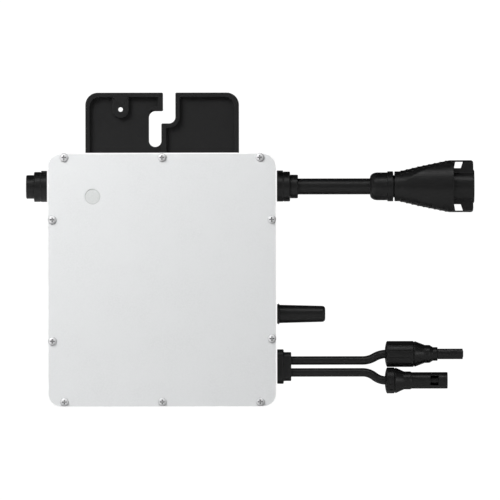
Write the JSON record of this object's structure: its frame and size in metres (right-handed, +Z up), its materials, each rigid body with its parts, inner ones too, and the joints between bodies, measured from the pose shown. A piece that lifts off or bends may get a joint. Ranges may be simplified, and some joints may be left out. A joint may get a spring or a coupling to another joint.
{
  "type": "module-level solar inverter",
  "caption": "Flat finned inverter box with a screwed cover and rail bracket, an AC inlet, an AC lead with a trunk plug, a stub antenna and two DC leads.",
  "frame": {"origin": "centre of the rear plane, level with the housing's centre, where the fin tips, the rear pad and the bracket end", "axes": "+Z up; the cover faces -Y; +X is towards the AC cable side"},
  "size_m": [0.4138, 0.0422, 0.291],
  "materials": {
    "coated_aluminium": "light satin powder coat",
    "black_cast": "black powder coat",
    "bright_steel": "zinc plated",
    "seal_rubber": "matte",
    "lens_plastic": "translucent, frosted",
    "led_lamp": "clear",
    "board_laminate": "solder mask",
    "potting": "soft gel",
    "ferrite": "matte",
    "copper_wire": "enamelled copper",
    "capacitor_can": "sleeved can",
    "chip_epoxy": "moulded epoxy",
    "film_case": "moulded case",
    "relay_case": "moulded case",
    "fuse_tube": "ceramic tube",
    "varistor_coat": "dipped coat",
    "shield_tin": "tinned",
    "gold_contact": "gold plated",
    "tinned_contact": "tin plated",
    "connector_plastic": "fine texture",
    "insert_plastic": "fine texture",
    "cable_jacket": "satin jacket",
    "wire_sleeve": "satin sleeve"
  },
  "bodies": {
    "inverter": {"housing": "coated_aluminium", "cover_plate": "coated_aluminium", "cover_gasket": "seal_rubber", "cover_screws": "bright_steel", "mounting_bracket": "black_cast", "bracket_screws": "bright_steel", "indicator_lens": "lens_plastic", "status_led": "led_lamp", "main_board": "board_laminate", "board_screws": "bright_steel", "potting_compound": "potting", "transformer_cores": "ferrite", "transformer_windings": "copper_wire", "dc_capacitors": "capacitor_can", "power_transistors": "chip_epoxy", "choke_core": "ferrite", "choke_windings": "copper_wire", "film_capacitors": "film_case", "grid_relays": "relay_case", "line_fuse": "fuse_tube", "surge_varistor": "varistor_coat", "control_chips": "chip_epoxy", "wireless_module": "shield_tin", "terminal_posts": "tinned_contact", "antenna_jack": "gold_contact", "antenna_pigtail": "wire_sleeve", "bulkhead_seals": "seal_rubber", "bulkhead_locknuts": "connector_plastic", "ac_inlet_shell": "connector_plastic", "ac_inlet_insert": "insert_plastic", "ac_inlet_pins": "tinned_contact", "ac_gland_body": "connector_plastic", "ac_gland_bush": "seal_rubber", "ac_gland_nut": "connector_plastic", "ac_wires": "wire_sleeve", "ac_cable_tail": "cable_jacket", "dc_entry_body": "connector_plastic", "dc_entry_bush": "seal_rubber", "dc_cable_tails": "cable_jacket"},
    "ac_lead": {"ac_cable_middle": "cable_jacket"},
    "ac_plug": {"ac_cable_end": "cable_jacket", "ac_plug_nut": "connector_plastic", "ac_plug_bush": "seal_rubber", "ac_plug_shell": "connector_plastic", "ac_plug_insert": "insert_plastic", "ac_plug_contacts": "tinned_contact"},
    "dc_plug_lead": {"dc_plug_cable": "cable_jacket", "dc_plug_nut": "connector_plastic", "dc_plug_shell": "connector_plastic", "dc_plug_contact": "tinned_contact"},
    "dc_latch_front": {"dc_latch_front": "connector_plastic"},
    "dc_latch_back": {"dc_latch_back": "connector_plastic"},
    "dc_socket_lead": {"dc_socket_cable": "cable_jacket", "dc_socket_nut": "connector_plastic", "dc_socket_shell": "connector_plastic", "dc_socket_contact": "tinned_contact"},
    "antenna_seal": {"antenna_seal": "seal_rubber"},
    "antenna": {"antenna_shell": "connector_plastic", "antenna_element": "copper_wire"}
  },
  "joints": [
    {"name": "ac_lead_droop", "type": "hinge", "parent": "inverter", "child": "ac_lead", "pos_m": [0.14, -0.0225, 0.0863], "axis": [0, 1, 0], "range_deg": [-20, 20], "stiffness_Nm_per_rad": 0.8},
    {"name": "ac_lead_sway", "type": "hinge", "parent": "ac_lead", "child": "ac_plug", "pos_m": [0.168, -0.0225, 0.0863], "axis": [0, 0, 1], "range_deg": [-25, 25], "stiffness_Nm_per_rad": 0.8},
    {"name": "dc_plug_sway", "type": "hinge", "parent": "inverter", "child": "dc_plug_lead", "pos_m": [0.15, -0.0225, -0.0745], "axis": [0, 0, 1], "range_deg": [-30, 30], "stiffness_Nm_per_rad": 0.05},
    {"name": "dc_socket_sway", "type": "hinge", "parent": "inverter", "child": "dc_socket_lead", "pos_m": [0.15, -0.0225, -0.0855], "axis": [0, 0, 1], "range_deg": [-30, 30], "stiffness_Nm_per_rad": 0.05},
    {"name": "latch_front_squeeze", "type": "hinge", "parent": "dc_plug_lead", "child": "dc_latch_front", "pos_m": [0.2543, -0.0282, -0.0686], "axis": [0, 0, 1], "range_deg": [0, 2.8]},
    {"name": "latch_back_squeeze", "type": "hinge", "parent": "dc_plug_lead", "child": "dc_latch_back", "pos_m": [0.2543, -0.0168, -0.0686], "axis": [0, 0, 1], "range_deg": [-2.8, 0]},
    {"name": "antenna_advance", "type": "slide", "parent": "inverter", "child": "antenna_seal", "axis": [1, 0, 0], "range_m": [0, 0.00564]},
    {"name": "antenna_turn", "type": "hinge", "parent": "antenna_seal", "child": "antenna", "pos_m": [0.128, -0.0225, -0.0314], "axis": [1, 0, 0], "range_deg": [0, 2880]}
  ],
  "couplings": [
    {"joint": "latch_back_squeeze", "follows": "latch_front_squeeze", "ratio": -1},
    {"joint": "antenna_turn", "follows": "antenna_advance", "rad_per_m": 8904.7}
  ]
}
